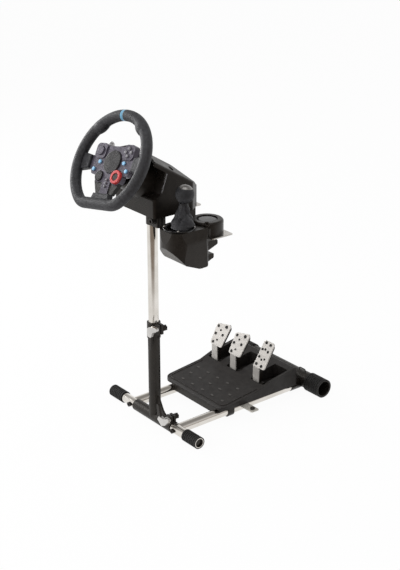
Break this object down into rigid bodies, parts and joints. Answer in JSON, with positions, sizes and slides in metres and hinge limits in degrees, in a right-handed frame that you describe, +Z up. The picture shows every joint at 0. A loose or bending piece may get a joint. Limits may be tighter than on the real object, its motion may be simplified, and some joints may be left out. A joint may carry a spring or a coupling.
{
  "type": "racing wheel stand",
  "caption": "Folding floor stand with a steering wheel controller on a telescoping mast, a ball-knob gear lever on a side shelf and a studded metal pedal unit.",
  "frame": {"origin": "middle of the whole object's bounding box at floor level", "axes": "+X to the driver's right, +Y away from the driver, +Z up"},
  "size_m": [0.392, 0.6872, 0.881],
  "materials": {
    "chrome": "polished",
    "steel": "brushed",
    "black_metal": "satin",
    "rubber": "ribbed",
    "black_plastic": "satin",
    "cast_silver": "polished",
    "leather": "soft",
    "blue": "gloss",
    "charcoal": "satin",
    "red": "satin",
    "grey_metal": "brushed",
    "pedal_metal": "brushed"
  },
  "bodies": {
    "base": {"front_tube": "chrome", "front_feet": "rubber", "tube_plugs": "black_plastic", "rear_tube": "black_metal", "rear_feet": "rubber", "rails": "chrome", "rail_bolts": "black_metal", "rail_clips": "black_plastic", "pedal_strap": "steel", "strap_screw": "black_metal", "pedal_base": "black_plastic", "pedal_stop": "black_metal", "heel_studs": "black_plastic"},
    "mast": {"lower_mast": "black_metal", "height_collar": "black_metal", "height_knob": "black_plastic", "fold_knob": "black_plastic"},
    "height_clamp": {"height_lever": "cast_silver", "height_handle": "black_plastic"},
    "fold_clamp": {"fold_lever": "cast_silver", "fold_handle": "black_plastic"},
    "carriage": {"upper_tube": "chrome", "deck_bracket": "black_metal", "deck_knob": "black_plastic", "deck_plate": "steel", "wheel_housing": "black_plastic", "shelf_post": "black_metal", "shelf_plate": "steel", "shifter_pod": "black_plastic", "boot_ring": "black_plastic", "shelf_jaws": "black_plastic", "shifter_boot": "leather"},
    "wheel": {"rim": "leather", "rim_band": "blue", "spoke_plate": "charcoal", "spoke_covers": "leather", "lower_panel": "black_plastic", "wheel_shaft": "charcoal", "hub_disc": "black_plastic", "blue_buttons": "blue", "pad_button": "black_plastic", "small_buttons": "black_plastic"},
    "dial": {"dial": "red", "dial_centre": "black_plastic"},
    "left_paddle": {"left_paddle": "grey_metal"},
    "right_paddle": {"right_paddle": "grey_metal"},
    "gimbal": {"lever_gimbal": "black_plastic"},
    "lever": {"lever_shaft": "grey_metal", "knob": "black_plastic", "knob_cap": "grey_metal"},
    "clutch": {"clutch_arm": "black_plastic", "clutch_face": "pedal_metal", "clutch_studs": "rubber"},
    "brake": {"brake_arm": "black_plastic", "brake_face": "pedal_metal", "brake_studs": "rubber"},
    "throttle": {"throttle_arm": "black_plastic", "throttle_face": "pedal_metal", "throttle_studs": "rubber"}
  },
  "joints": [
    {"name": "mast_fold", "type": "hinge", "parent": "base", "child": "mast", "pos_m": [0, -0.14349, 0.0164], "axis": [-1, 0, 0], "range_deg": [0, 45]},
    {"name": "mast_height", "type": "slide", "parent": "mast", "child": "carriage", "axis": [0, 0, 1], "range_m": [-0.14, 0.05]},
    {"name": "height_lever_turn", "type": "hinge", "parent": "mast", "child": "height_clamp", "pos_m": [0.0248, -0.14349, 0.284], "axis": [0, -1, 0], "range_deg": [0, 100]},
    {"name": "fold_lever_turn", "type": "hinge", "parent": "mast", "child": "fold_clamp", "pos_m": [0.073, -0.14349, 0.0407], "axis": [0, 1, 0], "range_deg": [0, 80]},
    {"name": "steering", "type": "hinge", "parent": "carriage", "child": "wheel", "pos_m": [0, -0.26809, 0.7607], "axis": [0, -0.8499, 0.527], "range_deg": [-460.5, 439.5]},
    {"name": "dial_turn", "type": "hinge", "parent": "wheel", "child": "dial", "pos_m": [0.03932, -0.28301, 0.73664], "axis": [0, -0.8499, 0.527], "continuous": true},
    {"name": "left_paddle_pull", "type": "hinge", "parent": "wheel", "child": "left_paddle", "pos_m": [-0.04115, -0.23701, 0.74442], "axis": [-0.1822, 0.5181, 0.8357], "range_deg": [0, 6], "stiffness_Nm_per_rad": 0.8, "springref_deg": -3.44},
    {"name": "right_paddle_pull", "type": "hinge", "parent": "wheel", "child": "right_paddle", "pos_m": [0.03751, -0.22933, 0.75681], "axis": [0.1822, -0.5181, -0.8357], "range_deg": [0, 6], "stiffness_Nm_per_rad": 0.8, "springref_deg": -3.44},
    {"name": "gear_select", "type": "hinge", "parent": "carriage", "child": "gimbal", "pos_m": [0.142, -0.16449, 0.586], "axis": [0, 1, 0], "range_deg": [-9, 9], "stiffness_Nm_per_rad": 3, "deforming": ["shifter_boot"]},
    {"name": "gear_shift", "type": "hinge", "parent": "gimbal", "child": "lever", "pos_m": [0.142, -0.16449, 0.586], "axis": [-1, 0, 0], "range_deg": [-14, 10], "deforming": ["shifter_boot"]},
    {"name": "clutch_press", "type": "hinge", "parent": "base", "child": "clutch", "pos_m": [-0.1, 0.15451, 0.05789], "axis": [-1, 0, 0], "range_deg": [0, 18], "stiffness_Nm_per_rad": 10, "springref_deg": -6.88},
    {"name": "brake_press", "type": "hinge", "parent": "base", "child": "brake", "pos_m": [-0.0165, 0.15451, 0.05789], "axis": [-1, 0, 0], "range_deg": [0, 18], "stiffness_Nm_per_rad": 20, "springref_deg": -6.88},
    {"name": "throttle_press", "type": "hinge", "parent": "base", "child": "throttle", "pos_m": [0.084, 0.15451, 0.05789], "axis": [-1, 0, 0], "range_deg": [0, 18], "stiffness_Nm_per_rad": 7, "springref_deg": -6.88}
  ]
}
